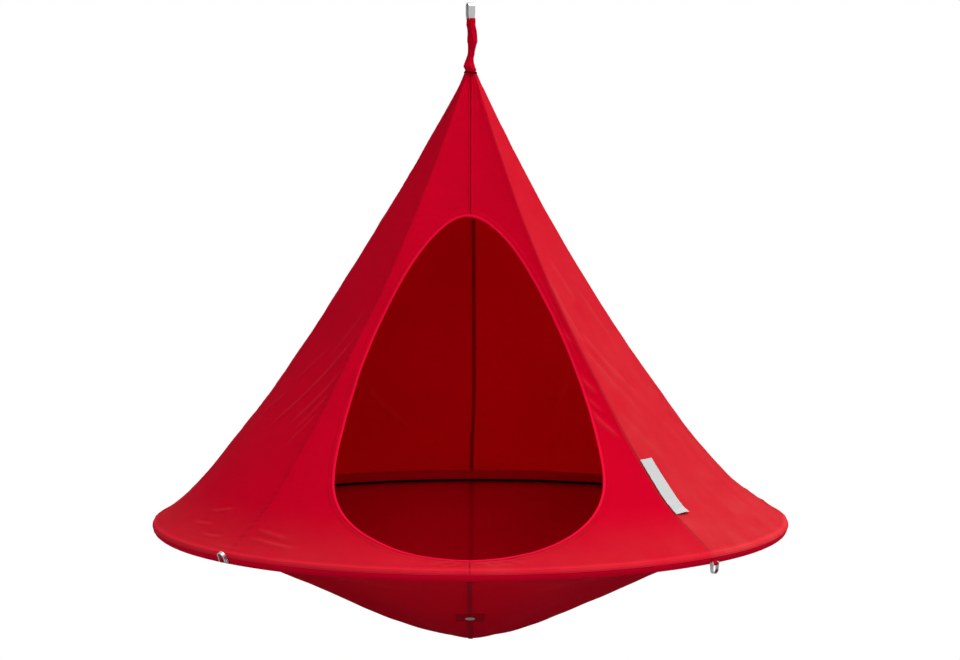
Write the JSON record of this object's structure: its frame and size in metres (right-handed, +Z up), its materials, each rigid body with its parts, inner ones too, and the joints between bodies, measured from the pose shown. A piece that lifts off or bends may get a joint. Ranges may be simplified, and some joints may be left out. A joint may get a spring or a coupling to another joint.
{
  "type": "cocoon hammock",
  "caption": "Hanging cloth nest: a cone canopy with a front doorway over a shallow cloth bowl, held open by a tube ring, with a lifting loop and shackle on top.",
  "frame": {"origin": "the point the nest hangs from, on the inner face of the top bow's crown", "axes": "+Z up along the hanging line, the doorway towards -Y, +X to the right seen from the front"},
  "size_m": [1.5, 1.5, 1.5045],
  "materials": {
    "canopy_cloth": "woven polyester-cotton canvas, matt",
    "floor_cloth": "woven canvas in shade, matt",
    "tape": "narrow woven tape",
    "binding": "folded canvas binding, stitched",
    "webbing": "woven webbing and cord",
    "fastener": "black hook-and-loop strip",
    "label": "smooth pale woven label, bare",
    "tube": "mill finish",
    "steel": "polished stainless steel"
  },
  "bodies": {
    "top_shackle": {"top_bow": "steel", "top_pin": "steel"},
    "nest": {"canopy_front_left": "canopy_cloth", "canopy_front_right": "canopy_cloth", "canopy_left_front": "canopy_cloth", "canopy_left_rear": "canopy_cloth", "canopy_rear_left": "canopy_cloth", "canopy_rear_right": "canopy_cloth", "canopy_right_front": "canopy_cloth", "canopy_right_rear": "canopy_cloth", "canopy_tape_front": "tape", "canopy_tape_front_left": "tape", "canopy_tape_front_right": "tape", "canopy_tape_left": "tape", "canopy_tape_rear": "tape", "canopy_tape_rear_left": "tape", "canopy_tape_rear_right": "tape", "canopy_tape_right": "tape", "door_binding": "binding", "eyelet": "steel", "eyelet_patch": "tape", "eyelet_washer": "steel", "flap_fastener": "fastener", "floor_front_left": "floor_cloth", "floor_front_right": "floor_cloth", "floor_rear_left": "floor_cloth", "floor_rear_right": "floor_cloth", "floor_tape_front": "tape", "floor_tape_left": "tape", "floor_tape_rear": "tape", "floor_tape_right": "tape", "foot_patch": "tape", "left_tab": "webbing", "lifting_loop": "webbing", "neck_cord": "webbing", "right_tab": "webbing", "rim_band": "canopy_cloth", "ring_flap": "floor_cloth", "ring_spigot_1": "tube", "ring_spigot_2": "tube", "ring_spigot_3": "tube", "ring_spigot_4": "tube", "ring_spigot_5": "tube", "ring_tube_1": "tube", "ring_tube_2": "tube", "ring_tube_3": "tube", "ring_tube_4": "tube", "ring_tube_5": "tube", "side_label": "label", "top_sleeve": "canopy_cloth"},
    "left_shackle": {"left_bow": "steel"},
    "left_pin": {"left_pin": "steel"},
    "right_shackle": {"right_bow": "steel"},
    "right_pin": {"right_pin": "steel"}
  },
  "joints": [
    {"name": "nest_swing", "type": "hinge", "parent": "top_shackle", "child": "nest", "pos_m": [0, 0, -0.041], "axis": [0.3827, -0.9239, 0], "range_deg": [-60, 60], "deforming": ["top_sleeve"]},
    {"name": "left_bow_turn", "type": "hinge", "parent": "nest", "child": "left_shackle", "pos_m": [-0.53389, -0.53389, -1.22464], "axis": [-0.7071, 0.7071, 0], "range_deg": [-182, 27]},
    {"name": "left_pin_draw", "type": "slide", "parent": "left_shackle", "child": "left_pin", "axis": [0.7071, -0.7071, 0], "range_m": [0, 0.022]},
    {"name": "right_bow_turn", "type": "hinge", "parent": "nest", "child": "right_shackle", "pos_m": [0.53188, -0.53188, -1.2308], "axis": [-0.7071, -0.7071, 0], "range_deg": [-35, 161]},
    {"name": "right_pin_draw", "type": "slide", "parent": "right_shackle", "child": "right_pin", "axis": [0.7071, 0.7071, 0], "range_m": [0, 0.022]}
  ]
}
